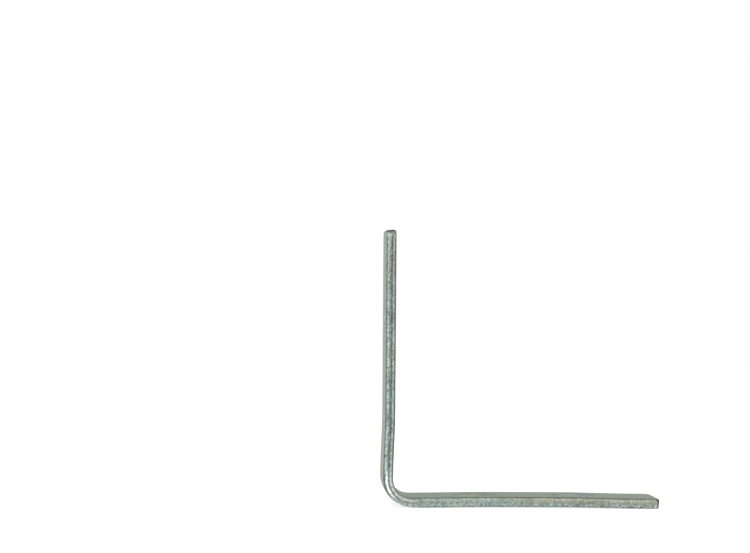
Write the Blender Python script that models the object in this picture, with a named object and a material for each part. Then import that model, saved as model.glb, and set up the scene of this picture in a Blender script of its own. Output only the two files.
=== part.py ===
"""A folded angle bracket: one strip of zinc-plated steel, punched, countersunk and folded square.

Metres, +Z up. The base leg lies on Z = 0 along X with its middle at the origin, and the upright leg
stands at its -X end. The width of the strip runs along Y. The strip is drawn flat, with round corners
and sheared edges, which the punch rolled over on the inside of the angle. It is then folded: round the
fold its edges draw in on the outside, where the steel is stretched, and bulge on the inside, where it
is squeezed. Each leg has two screw holes, countersunk from the inside of the angle.
"""

import math

import bmesh
import bpy
from mathutils import Matrix, Vector

# Driving dimensions of the strip and its fold
BASE_LEG = 0.050
UPRIGHT_LEG = 0.050
WIDTH = 0.015
THICKNESS = 0.0018
FOLD_ANGLE = math.radians(90)
INNER_FOLD_RADIUS = 0.0033
NEUTRAL_FIBRE = 0.42
END_CORNER_RADIUS = 0.0015

# Shear edges: rolled over on the inner faces, nearly sharp on the outer faces
ROLLED_EDGE = 0.00042
BURRED_EDGE = 0.00012
FOLD_DRAW_IN = 0.00013
FOLD_BULGE = 0.00010

# Screw holes: places along a leg, from the outer corner and from the leg's end
CORNER_TO_HOLE = 0.017
END_TO_HOLE = 0.015
HOLE_DIAMETER = 0.0045
COUNTERSINK_DIAMETER = 0.0076
COUNTERSINK_ANGLE = math.radians(90)
HOLE_BREAK = 0.00012

# Facets
FOLD_STEPS = 24
CORNER_STEPS = 6
ROLLED_STEPS = 4
BURRED_STEPS = 2
HOLE_STEPS = 48
SMOOTH_UNDER = math.radians(32)
CUTTER_OVERRUN = 0.001
WELD = 1e-7

# What follows from them
OUTER_FOLD_RADIUS = INNER_FOLD_RADIUS + THICKNESS
SETBACK = OUTER_FOLD_RADIUS * math.tan(FOLD_ANGLE / 2)
BASE_FLAT = BASE_LEG - SETBACK
UPRIGHT_FLAT = UPRIGHT_LEG - SETBACK
FOLD_LENGTH = FOLD_ANGLE * (INNER_FOLD_RADIUS + NEUTRAL_FIBRE * THICKNESS)
STRIP_LENGTH = BASE_FLAT + FOLD_LENGTH + UPRIGHT_FLAT
OUTER_CORNER = Vector((-BASE_LEG / 2, 0, 0))
FOLD_CENTRE = OUTER_CORNER + Vector((SETBACK, 0, OUTER_FOLD_RADIUS))
BASE_RUN = Vector((1, 0, 0))
BASE_INWARD = Vector((0, 0, 1))
UPRIGHT_RUN = Vector((-math.cos(FOLD_ANGLE), 0, math.sin(FOLD_ANGLE)))
UPRIGHT_INWARD = Vector((math.sin(FOLD_ANGLE), 0, math.cos(FOLD_ANGLE)))


def clear_scene():
    for obj in list(bpy.data.objects):
        bpy.data.objects.remove(obj)


def zinc_plated_steel():
    material = bpy.data.materials.new("zinc_plated_steel")
    material.use_nodes = True
    surface = material.node_tree.nodes["Principled BSDF"]
    surface.inputs["Base Color"].default_value = (0.60, 0.63, 0.61, 1)
    surface.inputs["Metallic"].default_value = 1.0
    surface.inputs["Roughness"].default_value = 0.34
    return material


def strip_outline():
    """The flat strip seen from above: a rectangle with a quarter circle at each corner."""
    turn_centres = (
        (STRIP_LENGTH - END_CORNER_RADIUS, WIDTH / 2 - END_CORNER_RADIUS),
        (END_CORNER_RADIUS, WIDTH / 2 - END_CORNER_RADIUS),
        (END_CORNER_RADIUS, END_CORNER_RADIUS - WIDTH / 2),
        (STRIP_LENGTH - END_CORNER_RADIUS, END_CORNER_RADIUS - WIDTH / 2),
    )
    points = []
    for quarter, (along, across) in enumerate(turn_centres):
        for step in range(CORNER_STEPS + 1):
            angle = math.pi / 2 * (quarter + step / CORNER_STEPS)
            x = along + END_CORNER_RADIUS * math.cos(angle)
            y = across + END_CORNER_RADIUS * math.sin(angle)
            points.append((x, y, 0))
    return points


def rim_at(strip, height):
    """The edges of the flat strip whose two ends lie at this height."""
    return [
        edge
        for edge in strip.edges
        if all(abs(vert.co.z - height) < WELD for vert in edge.verts)
    ]


def flat_strip():
    """The strip before folding: X along it from the base leg's end, Y across, Z up from the outer face."""
    strip = bmesh.new()
    outer_face = strip.faces.new([strip.verts.new(point) for point in strip_outline()])
    raised = bmesh.ops.extrude_face_region(strip, geom=[outer_face], use_keep_orig=True)
    raised_verts = [item for item in raised["geom"] if isinstance(item, bmesh.types.BMVert)]
    bmesh.ops.translate(strip, verts=raised_verts, vec=(0, 0, THICKNESS))
    bmesh.ops.recalc_face_normals(strip, faces=strip.faces)
    for height, radius, steps in (
        (0, BURRED_EDGE, BURRED_STEPS),
        (THICKNESS, ROLLED_EDGE, ROLLED_STEPS),
    ):
        bmesh.ops.bevel(
            strip,
            geom=rim_at(strip, height),
            offset=radius,
            offset_type="OFFSET",
            affect="EDGES",
            segments=steps,
            profile=0.5,
            clamp_overlap=True,
        )
    return strip


def cross_cut_the_fold(strip):
    """Cuts the strip across at even steps, so that it can turn round the fold."""
    for step in range(FOLD_STEPS + 1):
        along = BASE_FLAT + FOLD_LENGTH * step / FOLD_STEPS
        bmesh.ops.bisect_plane(
            strip,
            geom=strip.verts[:] + strip.edges[:] + strip.faces[:],
            dist=WELD,
            plane_co=(along, 0, 0),
            plane_no=(1, 0, 0),
        )


def edge_shift(turned, height):
    """How far the strip's edge moves outwards, part way round the fold and at a height in the sheet."""
    across_sheet = height / THICKNESS
    full_shift = FOLD_BULGE * across_sheet - FOLD_DRAW_IN * (1 - across_sheet)
    return full_shift * math.sin(math.pi * turned) ** 2


def folded(point):
    """Where a point of the flat strip goes when the strip is folded."""
    past_base = point.x - BASE_FLAT
    turned = min(max(past_base / FOLD_LENGTH, 0), 1)
    angle = FOLD_ANGLE * turned
    radius = OUTER_FOLD_RADIUS - point.z
    place = FOLD_CENTRE - radius * Vector((math.sin(angle), 0, math.cos(angle)))
    place -= BASE_RUN * min(past_base, 0)
    place += UPRIGHT_RUN * max(past_base - FOLD_LENGTH, 0)
    place.y = point.y * (1 + edge_shift(turned, point.z) / (WIDTH / 2))
    return place


def make_bracket():
    """The folded strip as an object, without its holes."""
    strip = flat_strip()
    cross_cut_the_fold(strip)
    for vert in strip.verts:
        vert.co = folded(vert.co)
    bmesh.ops.recalc_face_normals(strip, faces=strip.faces)
    mesh = bpy.data.meshes.new("angle_bracket")
    strip.to_mesh(mesh)
    strip.free()
    mesh.shade_smooth()
    mesh.set_sharp_from_angle(angle=SMOOTH_UNDER)
    mesh.materials.append(zinc_plated_steel())
    bracket = bpy.data.objects.new("angle_bracket", mesh)
    bpy.context.scene.collection.objects.link(bracket)
    return bracket


def screw_hole_profile():
    """Half the hole's section, as (radius, height above the outer face), running past both faces.

    A sheet too thin for the whole countersink loses its straight wall, and the cone ends wider.
    """
    flare = math.tan(COUNTERSINK_ANGLE / 2)
    cone_depth = (COUNTERSINK_DIAMETER - HOLE_DIAMETER) / 2 / flare
    neck_height = max(THICKNESS - cone_depth, HOLE_BREAK)
    neck_radius = COUNTERSINK_DIAMETER / 2 - (THICKNESS - neck_height) * flare
    return (
        (0, -CUTTER_OVERRUN),
        (neck_radius + HOLE_BREAK + CUTTER_OVERRUN, -CUTTER_OVERRUN),
        (neck_radius, HOLE_BREAK),
        (neck_radius, neck_height),
        (COUNTERSINK_DIAMETER / 2 + CUTTER_OVERRUN * flare, THICKNESS + CUTTER_OVERRUN),
        (0, THICKNESS + CUTTER_OVERRUN),
    )


def screw_hole_mesh():
    """The solid of revolution that cuts one screw hole, with its axis along Z."""
    cutter = bmesh.new()
    section = [cutter.verts.new((radius, 0, height)) for radius, height in screw_hole_profile()]
    edges = [cutter.edges.new(pair) for pair in zip(section, section[1:])]
    bmesh.ops.spin(
        cutter,
        geom=section + edges,
        cent=(0, 0, 0),
        axis=(0, 0, 1),
        angle=2 * math.pi,
        steps=HOLE_STEPS,
        use_merge=True,
    )
    bmesh.ops.remove_doubles(cutter, verts=cutter.verts, dist=WELD)
    bmesh.ops.recalc_face_normals(cutter, faces=cutter.faces)
    mesh = bpy.data.meshes.new("screw_hole")
    cutter.to_mesh(mesh)
    cutter.free()
    mesh.shade_smooth()
    mesh.set_sharp_from_angle(angle=SMOOTH_UNDER)
    return mesh


def leg_matrix(run, inward, distance):
    """The frame of a screw hole: on a leg's outer face, with Z pointing to the inside of the angle."""
    axes = Matrix((run, inward.cross(run), inward)).transposed().to_4x4()
    return Matrix.Translation(OUTER_CORNER + run * distance) @ axes


def cut_screw_holes(bracket):
    mesh = screw_hole_mesh()
    for leg, length, run, inward in (
        ("base", BASE_LEG, BASE_RUN, BASE_INWARD),
        ("upright", UPRIGHT_LEG, UPRIGHT_RUN, UPRIGHT_INWARD),
    ):
        for place, distance in (("corner", CORNER_TO_HOLE), ("end", length - END_TO_HOLE)):
            name = f"screw_hole_{leg}_{place}"
            cutter = bpy.data.objects.new(name, mesh)
            cutter.matrix_world = leg_matrix(run, inward, distance)
            cutter.hide_render = True
            cutter.display_type = "WIRE"
            bpy.context.scene.collection.objects.link(cutter)
            cut = bracket.modifiers.new(name, "BOOLEAN")
            cut.operation = "DIFFERENCE"
            cut.solver = "EXACT"
            cut.object = cutter


def main():
    clear_scene()
    cut_screw_holes(make_bracket())


main()
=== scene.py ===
"""The looks of a folded angle bracket: a fine mesh of its zinc-plated strip, in a plain white studio.

Metres, +Z up. The strip is first laid out flat, as (along, across, height): along runs from the end of
the base leg over the fold to the top of the upright leg, across is the width, and height goes from the
outer face to the inner face. Its sheared edge, faces and screw holes are meshed flat and then folded.
"""

import math

import bmesh
import bpy
import numpy as np
from mathutils import Matrix, Vector, geometry, noise


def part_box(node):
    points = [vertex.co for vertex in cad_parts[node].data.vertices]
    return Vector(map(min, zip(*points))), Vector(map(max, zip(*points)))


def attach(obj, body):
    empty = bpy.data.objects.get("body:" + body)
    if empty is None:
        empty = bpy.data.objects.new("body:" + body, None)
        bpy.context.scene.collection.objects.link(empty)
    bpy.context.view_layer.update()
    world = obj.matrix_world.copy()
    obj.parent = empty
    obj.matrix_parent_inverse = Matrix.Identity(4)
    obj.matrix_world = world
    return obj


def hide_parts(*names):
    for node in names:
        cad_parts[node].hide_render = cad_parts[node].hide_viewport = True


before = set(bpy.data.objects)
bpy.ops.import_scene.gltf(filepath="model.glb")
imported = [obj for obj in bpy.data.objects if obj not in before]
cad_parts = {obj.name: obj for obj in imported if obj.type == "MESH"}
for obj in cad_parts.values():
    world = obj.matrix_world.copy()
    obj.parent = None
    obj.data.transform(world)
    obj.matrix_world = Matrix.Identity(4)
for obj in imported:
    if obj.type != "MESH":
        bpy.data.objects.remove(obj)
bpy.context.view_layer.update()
NODE = "angle_bracket"
node_low, node_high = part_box(NODE)

# Millimetres in a metre
MM = 1000.0

# The strip and its fold, as in the CAD
BASE_LEG = node_high.x - node_low.x
UPRIGHT_LEG = node_high.z - node_low.z
WIDTH = 0.015
THICKNESS = 0.0018
INNER_FOLD_RADIUS = 0.0033
NEUTRAL_FIBRE = 0.42
END_CORNER_RADIUS = 0.0015
FOLD_DRAW_IN = 0.00013
FOLD_BULGE = 0.00010
OUTER_FOLD_RADIUS = INNER_FOLD_RADIUS + THICKNESS
BASE_FLAT = BASE_LEG - OUTER_FOLD_RADIUS
UPRIGHT_FLAT = UPRIGHT_LEG - OUTER_FOLD_RADIUS
FOLD_LENGTH = math.pi / 2 * (INNER_FOLD_RADIUS + NEUTRAL_FIBRE * THICKNESS)
STRIP_LENGTH = BASE_FLAT + FOLD_LENGTH + UPRIGHT_FLAT

# The screw holes, as in the CAD
CORNER_TO_HOLE = 0.017
END_TO_HOLE = 0.015
HOLE_RADIUS = 0.00225
COUNTERSINK_RADIUS = 0.0038
HOLE_BREAK = 0.00012
HOLE_PLACES = (
    END_TO_HOLE,
    BASE_LEG - CORNER_TO_HOLE,
    STRIP_LENGTH - UPRIGHT_LEG + CORNER_TO_HOLE,
    STRIP_LENGTH - END_TO_HOLE,
)

# How far pressing leaves the legs in from the fold's ends, and how gradually. The base leg bends back
# again from just before its outer hole.
BASE_BOW = 0.00020
BASE_BOW_REACH = 0.016
BEND_BACK_BEFORE_HOLE = 0.002
BEND_BACK_REACH = 0.014
UPRIGHT_BOW = 0.00030
UPRIGHT_BOW_REACH = 0.012

# The mesh: steps along the sheared edge, over the faces and the fold, and round a corner and a hole
EDGE_STEP = 0.00016
FACE_STEP = 0.0009
FOLD_FACE_STEP = FACE_STEP / 5
RIM_CLEARANCE = 0.0008
HOLE_CLEARANCE = 0.0004
CORNER_STEPS = 10
HOLE_STEPS = 96
FACE_SLOT, EDGE_SLOT, HOLE_SLOT = range(3)

# How a face is filled with triangles: only inside its rim, and points this close in millimetres are one
FILL_INSIDE_RIM = 1
SAME_POINT = 1e-6

# The sheared edge from the outer to the inner face, as (inset, height) in millimetres: torn, burnished
# and rolled over
FLAT_MARGIN = 0.06
EDGE_SECTION = (
    (0.210 + FLAT_MARGIN, 0.000),
    (0.210, 0.000),
    (0.150, 0.016),
    (0.106, 0.060),
    (0.088, 0.120),
    (0.080, 0.210),
    (0.073, 0.300),
    (0.066, 0.390),
    (0.059, 0.480),
    (0.051, 0.570),
    (0.044, 0.660),
    (0.035, 0.740),
    (0.022, 0.820),
    (0.008, 0.890),
    (0.002, 0.960),
    (0.000, 1.060),
    (0.000, 1.170),
    (0.001, 1.280),
    (0.006, 1.380),
    (0.022, 1.480),
    (0.058, 1.580),
    (0.118, 1.668),
    (0.205, 1.740),
    (0.310, 1.784),
    (0.420, 1.800),
    (0.420 + FLAT_MARGIN, 1.800),
)

# Stretches of the sheared edge's height in millimetres: where one begins, how far it takes to come in,
# where it ends, and how far it takes to fade out
TORN_HEIGHTS = (0.08, 0.10, 0.98, 0.15)
WALL_HEIGHTS = (0.05, 0.10, 1.75, 0.30)
TEAR_LINE_HEIGHTS = (0.30, 0.30, 1.45, 0.30)

# The sheared edge's roughness in layers, as (size in millimetres, cycles per millimetre, seed, heights),
# and the wave of the line where the torn band ends
EDGE_ROUGHNESS = (
    (0.012, (2.2, 2.2, 2.6), 1, TORN_HEIGHTS),
    (0.008, (4.6, 4.6, 5.0), 2, TORN_HEIGHTS),
    (0.005, (0.5, 0.5, 0.8), 3, WALL_HEIGHTS),
    (0.005, (2.8, 2.8, 0.5), 7, WALL_HEIGHTS),
)
TEAR_LINE_WAVE = 0.12
TEAR_LINE_SCALE = (0.55, 0.55, 0)
TEAR_LINE_SEED = 4

# A screw hole's wall round the foot of the bore, the foot of the cone and the countersink's rim, as
# (outwards, upwards) in shares of the hole's break
BORE_FOOT = ((1.0, 0.0), (0.4, 0.2), (0.1, 0.55), (0.0, 1.0))
CONE_FOOT = ((0.0, -0.15), (0.15, 0.15), (1.0, 1.0))
COUNTERSINK_RIM = ((-0.5, -0.5), (-0.1, -0.18), (0.35, -0.02), (0.8, 0.0))

# How far the faces sag in millimetres: in waves, and round a screw hole, as (depth, radius where it is
# deepest, width)
FACE_SAG = 0.006
FACE_SAG_SCALE = (0.16, 0.22, 0)
OUTER_SAG_SEED = 5
INNER_SAG_SEED = 6
BORE_SINK = (0.012, 2.3, 0.7)
COUNTERSINK_SINK = (0.030, 3.8, 1.0)

# How far apart the noise of one seed and the next lie
SEED_SHIFT = (17.3, 5.1, 9.7)

# The camera as the photo has it: the point of the bracket's near edge plane that its axis goes through
CAMERA_AIM = Vector((-0.02675, -WIDTH / 2, 0.04150))
CAMERA_DISTANCE = 0.500
CAMERA_AZIMUTH = math.radians(-2.1)
CAMERA_ELEVATION = math.radians(-0.65)
CAMERA_ROLL = math.radians(0.423)
CAMERA_LENS = 133.56
CAMERA_SENSOR = 36
CAMERA_CLIP = (0.01, 20)

# The studio: what everything is turned to, the floor, and the light from all round on what is matt
STUDIO_MIDDLE = Vector((0, 0, 0.02))
FLOOR_RADIUS = 1.2
FLOOR_SIDES = 64
FLOOR_DROP = 0.00002
FLOOR_GREY = 0.50
FLOOR_GLOW = 0.7
FLOOR_ROUGHNESS = 0.9
LIGHT_ALL_ROUND = 0.8


def eased(places, reach):
    """Rises smoothly from 0 to 1 over a reach."""
    share = np.clip(places / reach, 0, 1)
    return share * share * (3 - 2 * share)


def base_bow(past_fold):
    """How far the base leg lies in from its two ends."""
    outer_hole = BASE_FLAT - END_TO_HOLE
    risen = eased(past_fold, BASE_BOW_REACH)
    bent_back = eased(past_fold - outer_hole + BEND_BACK_BEFORE_HOLE, BEND_BACK_REACH)
    return BASE_BOW * (risen - bent_back)


def upright_bow(past_fold):
    """How far the upright lies in from the plane of the fold's end."""
    return UPRIGHT_BOW * eased(past_fold, UPRIGHT_BOW_REACH)


def folded(flat):
    """Places of points of the flat strip, rows of (along, across, height), once it is folded square."""
    along, across, height = flat[:, 0], flat[:, 1], flat[:, 2]
    past_base = along - BASE_FLAT
    turned = np.clip(past_base / FOLD_LENGTH, 0, 1)
    angle = turned * math.pi / 2
    most_stretched = np.sin(np.pi * turned) ** 2
    radius = OUTER_FOLD_RADIUS - height
    x = node_low.x + OUTER_FOLD_RADIUS - radius * np.sin(angle) - np.minimum(past_base, 0)
    z = OUTER_FOLD_RADIUS - radius * np.cos(angle) + np.maximum(past_base - FOLD_LENGTH, 0)
    x += upright_bow(past_base - FOLD_LENGTH)
    z += base_bow(-past_base)
    across_sheet = height / THICKNESS
    edge_shift = FOLD_BULGE * across_sheet - FOLD_DRAW_IN * (1 - across_sheet)
    y = across * (1 + edge_shift * most_stretched / (WIDTH / 2))
    return np.column_stack((x, y, z))


def outline_stations():
    """Points round the flat strip's outline, anticlockwise, and the direction inwards from each."""
    half = WIDTH / 2 - END_CORNER_RADIUS
    near, far = END_CORNER_RADIUS, STRIP_LENGTH - END_CORNER_RADIUS
    side_steps = round((far - near) / EDGE_STEP)
    end_steps = round(2 * half / EDGE_STEP)
    points = []
    for quarter, (centre, run, steps) in enumerate(
        (
            ((far, half), (near, half), side_steps),
            ((near, half), (near, -half), end_steps),
            ((near, -half), (far, -half), side_steps),
            ((far, -half), (far, half), end_steps),
        )
    ):
        for step in range(CORNER_STEPS):
            angle = math.pi / 2 * (quarter + step / CORNER_STEPS)
            outward = (math.cos(angle), math.sin(angle))
            points.append((*centre, *outward))
        outward = (math.cos(math.pi / 2 * (quarter + 1)), math.sin(math.pi / 2 * (quarter + 1)))
        for share in np.arange(steps) / steps:
            along = centre[0] + (run[0] - centre[0]) * share
            across = centre[1] + (run[1] - centre[1]) * share
            points.append((along, across, *outward))
    points = np.array(points)
    outward = points[:, 2:]
    return points[:, :2] + outward * END_CORNER_RADIUS, -outward


def noise_at(places, scale, seed):
    """Smooth noise from -1 to 1 at rows of places in metres. Scale is its cycles per millimetre."""
    offset = Vector([seed * shift for shift in SEED_SHIFT])
    stretch = np.asarray(scale) * MM
    return np.array([noise.noise(Vector(place) + offset) for place in places * stretch])


def within(values, begins, comes_in, ends, fades_out):
    """1 between two values and 0 outside them, with a slope at either end."""
    return np.clip((values - begins) / comes_in, 0, 1) * np.clip((ends - values) / fades_out, 0, 1)


def edge_ring():
    """The sheared edge as a grid of flat places: one row for each station of the outline."""
    outline, inward = outline_stations()
    section = np.array(EDGE_SECTION) / MM
    count, depth = len(outline), len(section)
    grid = np.zeros((count, depth, 3))
    for index, (inset, height) in enumerate(section):
        grid[:, index, :2] = outline + inward * inset
        grid[:, index, 2] = height
    places = grid.reshape(-1, 3)
    height = places[:, 2] * MM
    rough = np.zeros(len(places))
    for size, scale, seed, heights in EDGE_ROUGHNESS:
        rough += size * (1 + noise_at(places, scale, seed)) * within(height, *heights)
    tear_line = TEAR_LINE_WAVE * noise_at(places * (1, 1, 0), TEAR_LINE_SCALE, TEAR_LINE_SEED)
    inward_rows = np.repeat(inward, depth, axis=0)
    places[:, :2] += inward_rows * (rough / MM)[:, None]
    places[:, 2] += tear_line * within(height, *TEAR_LINE_HEIGHTS) / MM
    return places.reshape(count, depth, 3)


def hole_section():
    """A screw hole's wall from the outer to the inner face, as (radius, height) in metres."""
    cone_start = THICKNESS - (COUNTERSINK_RADIUS - HOLE_RADIUS)
    cone_middle = ((HOLE_RADIUS + COUNTERSINK_RADIUS) / 2, (cone_start + THICKNESS) / 2)
    section = []
    for radius, height, shares in (
        (HOLE_RADIUS, 0, BORE_FOOT),
        (HOLE_RADIUS, cone_start, CONE_FOOT),
        (*cone_middle, ((0, 0),)),
        (COUNTERSINK_RADIUS, THICKNESS, COUNTERSINK_RIM),
    ):
        section.extend((radius + HOLE_BREAK * out, height + HOLE_BREAK * up) for out, up in shares)
    margin = FLAT_MARGIN / MM
    on_outer_face = (section[0][0] + margin, 0)
    on_inner_face = (section[-1][0] + margin, THICKNESS)
    return [on_outer_face, *section, on_inner_face]


def hole_ring(along):
    """One screw hole's wall as a grid of flat places, centred on the strip's middle line."""
    turns = np.arange(HOLE_STEPS) / HOLE_STEPS * 2 * math.pi
    section = np.array(hole_section())
    grid = np.zeros((HOLE_STEPS, len(section), 3))
    grid[:, :, 0] = along + np.cos(turns)[:, None] * section[None, :, 0]
    grid[:, :, 1] = np.sin(turns)[:, None] * section[None, :, 0]
    grid[:, :, 2] = section[None, :, 1]
    return grid


def sink(reach, depth, deepest_at, width):
    """How far a face has sunk in millimetres at a reach from the axis of a screw hole."""
    return depth * np.exp(-(((reach - deepest_at) / width) ** 2))


def sagged(places):
    """Moves the faces in by some hundredths of a millimetre, as rolling and countersinking do."""
    share = places[:, 2] / THICKNESS
    level = places * (1, 1, 0)
    outer_sag = FACE_SAG * (1 + noise_at(level, FACE_SAG_SCALE, OUTER_SAG_SEED))
    inner_sag = FACE_SAG * (1 + noise_at(level, FACE_SAG_SCALE, INNER_SAG_SEED))
    for along in HOLE_PLACES:
        reach = np.hypot(places[:, 0] - along, places[:, 1]) * MM
        inner_sag += sink(reach, *COUNTERSINK_SINK)
        outer_sag += sink(reach, *BORE_SINK)
    sunk = places.copy()
    sunk[:, 2] += (outer_sag * (1 - share) - inner_sag * share) / MM
    return sunk


class StripMesh:
    """Collects flat places, the faces between them and each face's material slot."""

    def __init__(self):
        self.places = []
        self.faces = []
        self.slots = []

    def add_places(self, places):
        """Adds places and returns the index of the first."""
        first = len(self.places)
        self.places.extend(map(tuple, places))
        return first

    def add_ring(self, grid, slot):
        """Adds a closed ring of rows and returns the indices of its places."""
        rows, depth = grid.shape[:2]
        first = self.add_places(grid.reshape(-1, 3))
        index = first + np.arange(rows * depth).reshape(rows, depth)
        after = np.roll(index, -1, axis=0)
        for low in range(depth - 1):
            high = low + 1
            corners = (index[:, low], after[:, low], after[:, high], index[:, high])
            self.faces.extend(zip(*(column.tolist() for column in corners)))
        self.slots.extend([slot] * (rows * (depth - 1)))
        return index

    def add_face(self, rim, holes, height, slot):
        """Fills one face of the strip between its rim and the holes with triangles."""
        loops = [rim, *holes]
        known = [int(i) for loop in loops for i in loop]
        flat = [self.places[i][:2] for i in known]
        edges, start = [], 0
        for loop in loops:
            size = len(loop)
            edges.extend((start + k, start + (k + 1) % size) for k in range(size))
            start += size
        points = [Vector((a * MM, b * MM)) for a, b in [*flat, *face_points()]]
        filled = geometry.delaunay_2d_cdt(points, edges, [], FILL_INSIDE_RIM, SAME_POINT)
        verts, _, faces, origins, _, _ = filled
        index = []
        for vert, origin in zip(verts, origins):
            if origin and origin[0] < len(known):
                index.append(known[origin[0]])
            else:
                index.append(self.add_places([(vert.x / MM, vert.y / MM, height)]))
        hole_radius = math.dist(self.places[holes[0][0]][:2], (HOLE_PLACES[0], 0))
        for face in faces:
            middle = sum((verts[i] for i in face), Vector((0, 0))) / len(face) / MM
            if from_nearest_hole(*middle) > hole_radius:
                self.faces.append(tuple(index[i] for i in face))
                self.slots.append(slot)


def from_nearest_hole(along, across):
    """How far a flat place is from the axis of the nearest screw hole."""
    return min(math.hypot(along - place, across) for place in HOLE_PLACES)


def face_points():
    """Points spread over a face of the strip: closer along the fold, clear of the rim and the holes."""
    rows = [*np.arange(FACE_STEP, BASE_FLAT, FACE_STEP)]
    rows += [*np.arange(BASE_FLAT, BASE_FLAT + FOLD_LENGTH, FOLD_FACE_STEP)]
    rows += [*np.arange(BASE_FLAT + FOLD_LENGTH, STRIP_LENGTH - FACE_STEP, FACE_STEP)]
    half = WIDTH / 2 - RIM_CLEARANCE
    columns = np.linspace(-half, half, round(2 * half / FACE_STEP) + 1)
    points = []
    for along in rows:
        from_end = min(along, STRIP_LENGTH - along)
        narrowed = max(END_CORNER_RADIUS - from_end, 0)
        for across in columns:
            beside_hole = from_nearest_hole(along, across) > COUNTERSINK_RADIUS + HOLE_CLEARANCE
            if abs(across) <= half - narrowed and beside_hole:
                points.append((along, across))
    return points


def bracket_mesh():
    """The whole bracket as one closed mesh, folded, with its flat places kept in millimetres."""
    strip = StripMesh()
    ring = strip.add_ring(edge_ring(), EDGE_SLOT)
    holes = [strip.add_ring(hole_ring(along), HOLE_SLOT) for along in HOLE_PLACES]
    strip.add_face(ring[:, 0], [hole[:, 0] for hole in holes], 0, FACE_SLOT)
    strip.add_face(ring[:, -1], [hole[:, -1] for hole in holes], THICKNESS, FACE_SLOT)
    flat = np.array(strip.places)
    mesh = bpy.data.meshes.new("zinc_plated_bracket")
    mesh.from_pydata(folded(sagged(flat)).tolist(), [], strip.faces)
    mesh.polygons.foreach_set("material_index", strip.slots)
    kept = mesh.attributes.new("strip_mm", "FLOAT_VECTOR", "POINT")
    kept.data.foreach_set("vector", (flat * MM).astype(np.float32).ravel())
    shell = bmesh.new()
    shell.from_mesh(mesh)
    bmesh.ops.recalc_face_normals(shell, faces=shell.faces)
    shell.to_mesh(mesh)
    shell.free()
    mesh.shade_smooth()
    return mesh


def new_node(tree, kind, inputs=None, **settings):
    """Adds a shader node. An input is a value or another node's output."""
    node = tree.nodes.new(kind)
    for name, value in settings.items():
        setattr(node, name, value)
    for name, value in (inputs or {}).items():
        if isinstance(value, bpy.types.NodeSocket):
            tree.links.new(value, node.inputs[name])
        else:
            node.inputs[name].default_value = value
    return node


def strip_place(tree, stretch=(1, 1, 1)):
    """The flat place in millimetres, stretched for patterns that are longer one way."""
    place = new_node(tree, "ShaderNodeAttribute", attribute_name="strip_mm")
    scaled = new_node(
        tree,
        "ShaderNodeVectorMath",
        {0: place.outputs["Vector"], 1: stretch},
        operation="MULTIPLY",
    )
    return scaled.outputs["Vector"]


def grain(tree, stretch, detail=2.0, roughness=0.5):
    """Noise from 0 to 1. Stretch is its cycles per millimetre along, across and in height."""
    made = new_node(
        tree,
        "ShaderNodeTexNoise",
        {
            "Vector": strip_place(tree, stretch),
            "Scale": 1.0,
            "Detail": detail,
            "Roughness": roughness,
        },
    )
    return made.outputs["Fac"]


def spread(tree, value, low, high, to_low, to_high):
    """Maps a value from one range to another, held at its ends."""
    made = new_node(
        tree,
        "ShaderNodeMapRange",
        {
            "Value": value,
            "From Min": low,
            "From Max": high,
            "To Min": to_low,
            "To Max": to_high,
        },
    )
    return made.outputs["Result"]


def varied(tree, pattern, low, high):
    """Maps a noise pattern to a range by the values that most of it has."""
    return spread(tree, pattern, 0.3, 0.7, low, high)


def maths(tree, operation, first, second=0.0, third=0.0):
    """The result of one operation on up to three values."""
    made = new_node(
        tree, "ShaderNodeMath", {0: first, 1: second, 2: third}, operation=operation
    )
    return made.outputs["Value"]


def times(tree, *values):
    """The product of several values."""
    product = values[0]
    for value in values[1:]:
        product = maths(tree, "MULTIPLY", product, value)
    return product


def centred(tree, pattern, width):
    """A noise pattern scaled to a width, with its middle at 0."""
    return maths(tree, "MULTIPLY_ADD", pattern, width, -width / 2)


def mixed(tree, share, first, second, blend="MIX"):
    """Mixes two colours. Share is 0 for the first and 1 for the second.

    The node has sockets of the same names for numbers and vectors, so those for colours go by index.
    """
    made = new_node(tree, "ShaderNodeMix", data_type="RGBA", blend_type=blend)
    for index, value in ((0, share), (6, first), (7, second)):
        socket = made.inputs[index]
        if isinstance(value, bpy.types.NodeSocket):
            tree.links.new(value, socket)
        else:
            socket.default_value = value
    return made.outputs[2]


def ramp(tree, position, stops):
    """A colour that changes with position. Stops are (position, colour)."""
    made = new_node(tree, "ShaderNodeValToRGB", {"Fac": position})
    elements = made.color_ramp.elements
    while len(elements) < len(stops):
        elements.new(0.5)
    for element, (place, colour) in zip(elements, stops):
        element.position = place
        element.color = colour
    return made.outputs["Color"]


def grey(value):
    """A grey as a colour with its alpha."""
    return (value, value, value, 1)


def as_grey(tree, value):
    """A colour socket with the same value in red, green and blue."""
    made = new_node(tree, "ShaderNodeCombineColor", {"Red": value, "Green": value, "Blue": value})
    return made.outputs["Color"]


def tones(tree, position, stops):
    """A grey that changes with position. Stops are (position, grey)."""
    return ramp(tree, position, [(place, grey(value)) for place, value in stops])


# The plating's grey, its tints where its passivation is thin, even and thick, its violet specks, and its
# tint at low angles
ZINC = 0.43
COOL = (0.82, 1.00, 1.00)
GREEN = (0.83, 1.00, 0.88)
WARM = (0.92, 1.00, 0.76)
VIOLET = (0.96, 0.98, 1.00)
GRAZING_TINT = (0.46, 0.49, 0.42)
TINT_STOPS = ((0.38, (*COOL, 1)), (0.5, (*GREEN, 1)), (0.62, (*WARM, 1)))

# Depths of the surfaces' finest relief in metres, which is bump
FACE_RELIEF = 0.000009
EDGE_RELIEF = 0.00003
HOLE_RELIEF = 0.00002

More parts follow.
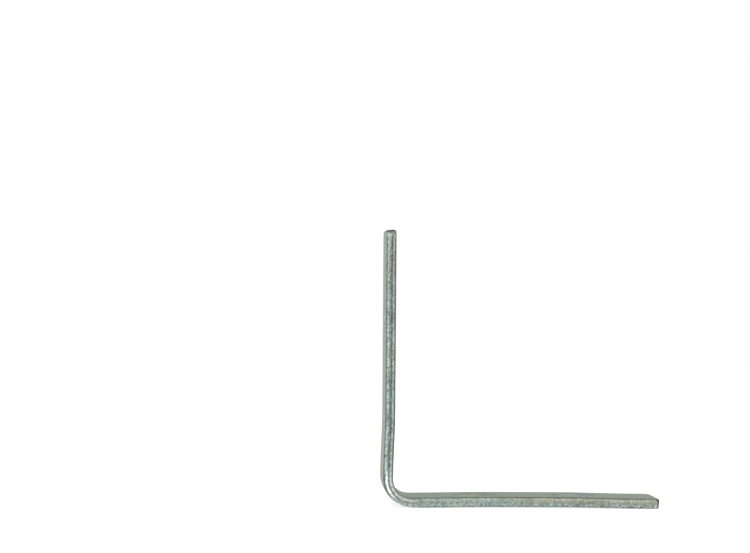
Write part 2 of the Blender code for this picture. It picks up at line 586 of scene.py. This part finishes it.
# How light the sheared edge is from the outer face (0) to the inner face (1), partly the bands' own finish
# and
# partly painted light: a dark corner of painted shade, the torn band, the line where it meets the
# burnished band, the rolled-over band, and a dark line of painted shade by the inner face
BASE_EDGE_TONES_AND_SHADE = (
    (0.00, 0.23),
    (0.06, 0.29),
    (0.16, 0.31),
    (0.27, 0.36),
    (0.38, 0.31),
    (0.50, 0.28),
    (0.60, 0.32),
    (0.67, 0.41),
    (0.74, 0.51),
    (0.82, 0.45),
    (0.90, 0.27),
    (1.00, 0.18),
)
UPRIGHT_EDGE_TONES_AND_SHADE = (
    (0.00, 0.16),
    (0.06, 0.18),
    (0.11, 0.32),
    (0.17, 0.48),
    (0.23, 0.53),
    (0.31, 0.41),
    (0.39, 0.24),
    (0.48, 0.14),
    (0.54, 0.13),
    (0.60, 0.18),
    (0.66, 0.35),
    (0.73, 0.57),
    (0.79, 0.41),
    (0.86, 0.18),
    (1.00, 0.13),
)
# By the fold's start the outer corner carries a painted highlight
FOLD_START_EDGE_TONES_HIGHLIGHT_AND_SHADE = (
    (0.00, 0.86),
    (0.05, 0.74),
    (0.11, 0.42),
    (0.20, 0.34),
    (0.33, 0.38),
    (0.40, 0.28),
    (0.48, 0.20),
    (0.54, 0.24),
    (0.60, 0.45),
    (0.68, 0.58),
    (0.75, 0.55),
    (0.84, 0.33),
    (0.92, 0.24),
    (1.00, 0.18),
)
# Round the fold the outer half of the edge carries a painted white highlight
FOLD_END_EDGE_TONES_HIGHLIGHT_AND_SHADE = (
    (0.00, 0.18),
    (0.09, 0.16),
    (0.17, 0.22),
    (0.24, 0.66),
    (0.30, 0.98),
    (0.36, 1.00),
    (0.42, 0.66),
    (0.48, 0.26),
    (0.54, 0.12),
    (0.59, 0.20),
    (0.65, 0.53),
    (0.71, 0.76),
    (0.78, 0.54),
    (0.86, 0.26),
    (1.00, 0.18),
)

# Where those tones change along the strip, in millimetres from the base leg's end: each set of tones
# comes in between two places
FOLD_START = BASE_FLAT * MM
FOLD_END = (BASE_FLAT + FOLD_LENGTH) * MM
TONE_CHANGES = (
    (FOLD_START_EDGE_TONES_HIGHLIGHT_AND_SHADE, FOLD_START - 1.5, FOLD_START + 0.5),
    (FOLD_END_EDGE_TONES_HIGHLIGHT_AND_SHADE, FOLD_START + 2.5, FOLD_START + 4.0),
    (UPRIGHT_EDGE_TONES_AND_SHADE, FOLD_END + 0.5, FOLD_END + 2.0),
)

# How far the bands wander up and down, as a share of the thickness, and where above the corner they
# come to do so
BAND_DRIFT = 0.10
BAND_WOBBLE = 0.08
WANDER_HEIGHTS = (0.04, 0.2)

# How much brighter the base leg's edge is towards the fold, and the places where that comes and goes
BRIGHTENING = 1.12
BRIGHTENING_COMES = (27.0, 33.0)
BRIGHTENING_GOES = (FOLD_START - 2.0, FOLD_START)

# The ends of the sheared edge: the grey of the end faces, and a dark line of painted shade on the turn to
# them, stronger on the base leg than on the upright. Places are millimetres from the end, and past the
# start of the turn.
END_TONE = 0.28
END_EVENNESS = 0.8
END_REACH = (1.2, 1.8)
TURN_SHADE_TONE = 0.07
TURN_SHADE_STRENGTHS = (0.85, 0.30)
TURN_SHADE_COMES = (0.00, 0.04)
TURN_SHADE_GOES = (0.22, 0.55)
TURN_SHADE_ACROSS = (-0.1, 0.2)

# How warm the sheared edge's tint is along the strip, from the base leg's end (0) to the upright's (1),
# and how much clouds change that
EDGE_WARMTH = (
    (0.00, 0.58),
    (0.12, 0.55),
    (0.24, 0.50),
    (0.32, 0.50),
    (0.50, 0.48),
    (0.58, 0.40),
    (0.72, 0.42),
    (0.82, 0.49),
    (0.90, 0.47),
    (0.94, 0.48),
    (0.98, 0.57),
)
WARMTH_CLOUDS = 0.7

# How much warmer the tint is by the inner face than by the outer face, along the strip, and the height
# from which it gets warmer or cooler
EDGE_LEAN = (
    (0.12, 0.60),
    (0.20, 0.36),
    (0.30, 0.22),
    (0.36, 0.04),
    (0.54, 0.02),
    (0.74, 0.02),
    (0.82, 0.23),
)
LEAN_HEIGHT = 0.44

# How strong the violet specks are along the strip, how much stronger in the rolled-over band, and which
# values of their noise make a speck
EDGE_VIOLET = (
    (0.08, 0.50),
    (0.19, 0.12),
    (0.86, 0.12),
    (0.95, 0.55),
)
ROLLED_OVER_VIOLET = 0.3
ROLLED_OVER_HEIGHTS = (0.58, 0.74)
VIOLET_SPECK = (0.48, 0.60)

# How much paler the tint is on the fold, and the places where that comes and goes
FOLD_PALENESS = 0.4
PALENESS_COMES = (FOLD_START - 1.0, FOLD_START + 1.0)
PALENESS_GOES = (FOLD_END - 0.5, FOLD_END + 1.5)

# How strong the grey specks are along the strip, in the torn band and above it, the heights where one
# gives way to the other, and how weak they are in the corner below
TORN_SPECKS = (
    (0.08, 1.35),
    (0.18, 0.95),
    (0.32, 0.78),
    (0.52, 0.65),
    (0.58, 1.10),
)
UPPER_SPECKS = (
    (0.28, 0.40),
    (0.36, 0.56),
    (0.54, 0.56),
    (0.60, 0.62),
)
TORN_TOP = (0.30, 0.42)
CORNER_HEIGHTS = (0.04, 0.26)
CORNER_SPECKS = 0.55


def new_zinc(name):
    """A metal material with what all zinc-plated surfaces share."""
    material = bpy.data.materials.new(name)
    material.use_nodes = True
    tree = material.node_tree
    surface = tree.nodes["Principled BSDF"]
    surface.inputs["Metallic"].default_value = 1.0
    surface.inputs["Specular Tint"].default_value = (*GRAZING_TINT, 1)
    return material, tree, surface


def finish_zinc(tree, surface, colour, tone, roughness, relief, depth):
    """Gives a metal its colour times its tone, its roughness, and bumps of a depth in metres."""
    toned = mixed(tree, 1.0, colour, as_grey(tree, tone), "MULTIPLY")
    bump = new_node(tree, "ShaderNodeBump", {"Height": relief, "Strength": 1.0, "Distance": depth})
    tree.links.new(toned, surface.inputs["Base Color"])
    tree.links.new(roughness, surface.inputs["Roughness"])
    tree.links.new(bump.outputs["Normal"], surface.inputs["Normal"])


def zinc_tints(tree):
    """The plating's tint over the strip: broad cool, green and warm clouds, with violet specks."""
    clouds = grain(tree, (0.10, 0.14, 0.5))
    patches = grain(tree, (0.45, 0.6, 0.9), detail=3.0, roughness=0.6)
    both = maths(tree, "MULTIPLY_ADD", patches, 0.5, times(tree, clouds, 0.5))
    specks = grain(tree, (0.9, 0.9, 1.3))
    violet = spread(tree, specks, 0.52, 0.66, 0.0, 0.7)
    return mixed(tree, violet, ramp(tree, both, TINT_STOPS), (*VIOLET, 1))


def rolled_face():
    """The wide faces: satin zinc over rolled steel, with fine lines along the strip and clouds."""
    material, tree, surface = new_zinc("zinc_rolled_face")
    lines = grain(tree, (0.22, 9.0, 3.0), detail=3.0, roughness=0.6)
    tooth = grain(tree, (4.0, 5.0, 5.0))
    clouds = grain(tree, (0.5, 0.7, 0.7), detail=3.0, roughness=0.6)
    tone = times(
        tree,
        ZINC,
        varied(tree, lines, 0.92, 1.08),
        varied(tree, clouds, 0.88, 1.08),
        varied(tree, tooth, 0.94, 1.06),
    )
    cloudy = varied(tree, clouds, 0.28, 0.38)
    roughness = maths(tree, "ADD", cloudy, varied(tree, tooth, -0.03, 0.03))
    relief = maths(tree, "ADD", times(tree, lines, 0.6), times(tree, tooth, 0.4))
    finish_zinc(tree, surface, zinc_tints(tree), tone, roughness, relief, FACE_RELIEF)
    return material


def edge_tints(tree, along, share, height):
    """The sheared edge's tint: cool by the outer face, warm by the inner face, paler on the fold."""
    clouds = grain(tree, (0.12, 0.12, 0.3), detail=3.0, roughness=0.6)
    clouded = centred(tree, clouds, WARMTH_CLOUDS)
    warmth = maths(tree, "ADD", tones(tree, share, EDGE_WARMTH), clouded)
    above_middle = maths(tree, "SUBTRACT", height, LEAN_HEIGHT)
    leaning = maths(tree, "MULTIPLY_ADD", tones(tree, share, EDGE_LEAN), above_middle, warmth)
    broad = ramp(tree, leaning, TINT_STOPS)
    specks = grain(tree, (1.6, 1.6, 2.0))
    rolled_over = spread(tree, height, *ROLLED_OVER_HEIGHTS, 0.0, ROLLED_OVER_VIOLET)
    specked = maths(tree, "ADD", tones(tree, share, EDGE_VIOLET), rolled_over)
    violet = times(tree, spread(tree, specks, *VIOLET_SPECK, 0.0, 1.0), specked)
    paler = times(
        tree,
        spread(tree, along, *PALENESS_COMES, 0.0, FOLD_PALENESS),
        spread(tree, along, *PALENESS_GOES, 1.0, 0.0),
    )
    return mixed(tree, paler, mixed(tree, violet, broad, (*VIOLET, 1)), grey(1))


def edge_bands_highlight_and_shade(tree, along, wavy):
    """The grey of the sheared edge's bands and their painted shade, which change round the fold to a
    painted highlight.
    """
    colour = tones(tree, wavy, BASE_EDGE_TONES_AND_SHADE)
    for stops, begins, reached in TONE_CHANGES:
        changed = spread(tree, along, begins, reached, 0.0, 1.0)
        colour = mixed(tree, changed, colour, tones(tree, wavy, stops))
    return colour


def edge_ends_and_turn_shade(tree, along, across, bands):
    """Evens out the bands where the edge turns to an end face, and paints a dark line of shade on the
    turn.
    """
    from_end = maths(tree, "MINIMUM", along, maths(tree, "SUBTRACT", STRIP_LENGTH * MM, along))
    even = spread(tree, from_end, *END_REACH, END_EVENNESS, 0.0)
    turn_starts = (WIDTH / 2 - END_CORNER_RADIUS) * MM
    turn_shade_across = [turn_starts + place for place in TURN_SHADE_ACROSS]
    # Where the dark line of painted shade lies on the turn, and how strong it is
    turn = times(
        tree,
        spread(tree, along, FOLD_START, FOLD_END, *TURN_SHADE_STRENGTHS),
        spread(tree, from_end, *TURN_SHADE_COMES, 0.0, 1.0),
        spread(tree, from_end, *TURN_SHADE_GOES, 1.0, 0.0),
        spread(tree, maths(tree, "ABSOLUTE", across), *turn_shade_across, 0.0, 1.0),
    )
    return mixed(tree, turn, mixed(tree, even, bands, grey(END_TONE)), grey(TURN_SHADE_TONE))


def edge_marks(tree, along, share, wavy, marks, specks):
    """How far the sheared edge's grey is lightened or darkened: grainy where torn, smoother above."""
    clouds = grain(tree, (0.3, 0.3, 0.5))
    torn, upper = (tones(tree, share, stops) for stops in (TORN_SPECKS, UPPER_SPECKS))
    strength = times(
        tree,
        spread(tree, wavy, *TORN_TOP, torn, upper),
        spread(tree, wavy, *CORNER_HEIGHTS, CORNER_SPECKS, 1.0),
    )
    brightened = times(
        tree,
        spread(tree, along, *BRIGHTENING_COMES, 1.0, BRIGHTENING),
        spread(tree, along, *BRIGHTENING_GOES, 1.0, 1 / BRIGHTENING),
    )
    return times(
        tree,
        maths(tree, "MULTIPLY_ADD", spread(tree, specks, 0.33, 0.67, -0.6, 0.6), strength, 1.0),
        spread(tree, marks, 0.34, 0.66, 0.86, 1.14),
        varied(tree, clouds, 0.86, 1.14),
        brightened,
    )


def sheared_edge():
    """The sheared edge: torn, burnished and rolled-over bands with painted shade and highlight, under fine
    specks and marks.
    """
    material, tree, surface = new_zinc("zinc_sheared_edge")
    marks = grain(tree, (2.6, 2.6, 0.9), roughness=0.6)
    specks = grain(tree, (1.9, 1.9, 2.8), detail=3.0, roughness=0.6)
    drift = grain(tree, (0.4, 0.4, 0.0))
    place = new_node(tree, "ShaderNodeSeparateXYZ", {0: strip_place(tree)})
    along, across = place.outputs["X"], place.outputs["Y"]
    share = times(tree, along, 1 / (STRIP_LENGTH * MM))
    height = times(tree, place.outputs["Z"], 1 / (THICKNESS * MM))
    wander = maths(tree, "ADD", centred(tree, drift, BAND_DRIFT), centred(tree, specks, BAND_WOBBLE))
    inside = spread(tree, height, *WANDER_HEIGHTS, 0.0, 1.0)
    wavy = maths(tree, "MULTIPLY_ADD", wander, inside, height)
    # The bands' greys carry painted shade by both faces, a painted highlight on the fold and painted shade
    # on the turn to the ends
    bands = edge_ends_and_turn_shade(tree, along, across, edge_bands_highlight_and_shade(tree, along, wavy))
    colour = mixed(tree, 1.0, bands, edge_tints(tree, along, share, height), "MULTIPLY")
    tone = edge_marks(tree, along, share, wavy, marks, specks)
    roughness = varied(tree, specks, 0.40, 0.24)
    relief = maths(tree, "ADD", times(tree, marks, 0.6), times(tree, specks, 0.8))
    finish_zinc(tree, surface, colour, tone, roughness, relief, EDGE_RELIEF)
    return material


def countersunk_wall():
    """The walls of the screw holes: turned marks round the cone, under a thinner and duller plating."""
    material, tree, surface = new_zinc("zinc_hole_wall")
    turned = grain(tree, (0.3, 0.3, 14.0))
    specks = grain(tree, (2.5, 2.5, 3.0), detail=3.0, roughness=0.6)
    tone = times(
        tree,
        ZINC,
        varied(tree, turned, 0.82, 1.1),
        varied(tree, specks, 0.86, 1.08),
    )
    roughness = varied(tree, specks, 0.3, 0.46)
    relief = maths(tree, "ADD", turned, times(tree, specks, 0.5))
    finish_zinc(tree, surface, zinc_tints(tree), tone, roughness, relief, HOLE_RELIEF)
    return material


def make_bracket():
    """The bracket, with its materials in the order of their slots."""
    mesh = bracket_mesh()
    for material in (rolled_face(), sheared_edge(), countersunk_wall()):
        mesh.materials.append(material)
    bracket = bpy.data.objects.new("zinc_plated_bracket", mesh)
    bpy.context.scene.collection.objects.link(bracket)
    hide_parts(NODE)
    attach(bracket, "root")


def seen_in_the_background(tree):
    """1 where the camera, a reflection or a see-through material looks at the background, else 0."""
    path = new_node(tree, "ShaderNodeLightPath")
    seen = maths(tree, "MAXIMUM", path.outputs["Is Camera Ray"], path.outputs["Is Glossy Ray"])
    return maths(tree, "MAXIMUM", seen, path.outputs["Is Transmission Ray"])


def matt_white_glow(name, base):
    """A matt grey material that can glow white, and its shader."""
    material = bpy.data.materials.new(name)
    material.use_nodes = True
    surface = material.node_tree.nodes["Principled BSDF"]
    surface.inputs["Base Color"].default_value = grey(base)
    surface.inputs["Specular IOR Level"].default_value = 0.0
    surface.inputs["Emission Color"].default_value = grey(1)
    return material, surface


def make_floor():
    """A pale round floor, which renders white where the bracket doesn't shade it."""
    mesh = bpy.data.meshes.new("floor")
    disc = bmesh.new()
    bmesh.ops.create_circle(disc, cap_ends=True, segments=FLOOR_SIDES, radius=FLOOR_RADIUS)
    disc.to_mesh(mesh)
    disc.free()
    floor = bpy.data.objects.new("floor", mesh)
    floor.location.z = -FLOOR_DROP
    bpy.context.scene.collection.objects.link(floor)
    material, surface = matt_white_glow("pale_floor", FLOOR_GREY)
    surface.inputs["Roughness"].default_value = FLOOR_ROUGHNESS
    tree = material.node_tree
    glow = maths(tree, "MULTIPLY", seen_in_the_background(tree), FLOOR_GLOW)
    tree.links.new(glow, surface.inputs["Emission Strength"])
    mesh.materials.append(material)


def make_world():
    """White all round where it is seen, and a plain level of light on what is matt."""
    world = bpy.data.worlds.new("studio")
    bpy.context.scene.world = world
    world.use_nodes = True
    tree = world.node_tree
    tree.nodes.clear()
    output = new_node(tree, "ShaderNodeOutputWorld")
    background = new_node(tree, "ShaderNodeBackground")
    tree.links.new(background.outputs[0], output.inputs[0])
    level = maths(tree, "MAXIMUM", seen_in_the_background(tree), LIGHT_ALL_ROUND)
    tree.links.new(as_grey(tree, level), background.inputs["Color"])


def direction(azimuth, elevation):
    """A direction away from the bracket: azimuth 0 is in front, and it grows to the right."""
    level = math.cos(elevation)
    return Vector((math.sin(azimuth) * level, -math.cos(azimuth) * level, math.sin(elevation)))


def stand_in_studio(name, data, azimuth, elevation, distance):
    """Adds a lamp or card at a place round the bracket, in degrees and metres, turned to it."""
    away = direction(math.radians(azimuth), math.radians(elevation))
    place = STUDIO_MIDDLE + away * distance
    aim = STUDIO_MIDDLE - place
    stood = bpy.data.objects.new(name, data)
    stood.matrix_world = Matrix.Translation(place) @ aim.to_track_quat("-Z", "Y").to_matrix().to_4x4()
    bpy.context.scene.collection.objects.link(stood)
    return stood


def add_softbox(name, azimuth, elevation, distance, size, brightness):
    """An oblong lamp turned to the bracket, as bright to look at as a white of this brightness."""
    lamp = bpy.data.lights.new(name, "AREA")
    lamp.shape = "RECTANGLE"
    lamp.size, lamp.size_y = size
    lamp.energy = brightness * math.pi * size[0] * size[1]
    softbox = stand_in_studio(name, lamp, azimuth, elevation, distance)
    softbox.visible_camera = False


def add_card(name, azimuth, elevation, distance, size, brightness):
    """A grey card turned to the bracket, which only shows in its gloss."""
    mesh = bpy.data.meshes.new(name)
    wide, high = size[0] / 2, size[1] / 2
    corners = [(-wide, -high, 0), (wide, -high, 0), (wide, high, 0), (-wide, high, 0)]
    mesh.from_pydata(corners, [], [(0, 1, 2, 3)])
    card = stand_in_studio(name, mesh, azimuth, elevation, distance)
    for ray in ("camera", "diffuse", "shadow", "transmission", "volume_scatter"):
        setattr(card, f"visible_{ray}", False)
    material, surface = matt_white_glow(name, 0)
    surface.inputs["Emission Strength"].default_value = brightness
    mesh.materials.append(material)


def make_lights():
    """Three lamps, and the cards that draw light and dark lines along the rounded edges."""
    add_softbox("left_strip", -26, 4, 0.60, (0.12, 0.40), 2.6)
    add_softbox("high_key", -35, 45, 0.80, (0.40, 0.40), 2.5)
    add_softbox("right_fill", 55, 20, 0.80, (0.30, 0.40), 1.5)
    add_card("camera_card", 0, 3, 0.62, (0.26, 0.30), 0.35)
    add_card("pale_card_left", -140, 4, 0.80, (0.90, 0.50), 1.25)
    add_card("dark_card_right", 118, 5, 0.60, (0.62, 0.50), 0.03)
    add_card("dark_card_above", 180, 58, 0.70, (0.50, 0.40), 0.22)


def make_camera():
    """The camera, level with its aim and then rolled a little, as the photo is."""
    data = bpy.data.cameras.new("camera")
    data.lens = CAMERA_LENS
    data.sensor_width = CAMERA_SENSOR
    data.clip_start, data.clip_end = CAMERA_CLIP
    camera = bpy.data.objects.new("camera", data)
    back = direction(CAMERA_AZIMUTH, CAMERA_ELEVATION)
    camera.matrix_world = (
        Matrix.Translation(CAMERA_AIM + back * CAMERA_DISTANCE)
        @ (-back).to_track_quat("-Z", "Y").to_matrix().to_4x4()
        @ Matrix.Rotation(CAMERA_ROLL, 4, "Z")
    )
    bpy.context.scene.collection.objects.link(camera)
    bpy.context.scene.camera = camera


make_camera()
make_bracket()
make_floor()
make_world()
make_lights()
bpy.context.scene.view_settings.view_transform = "Standard"
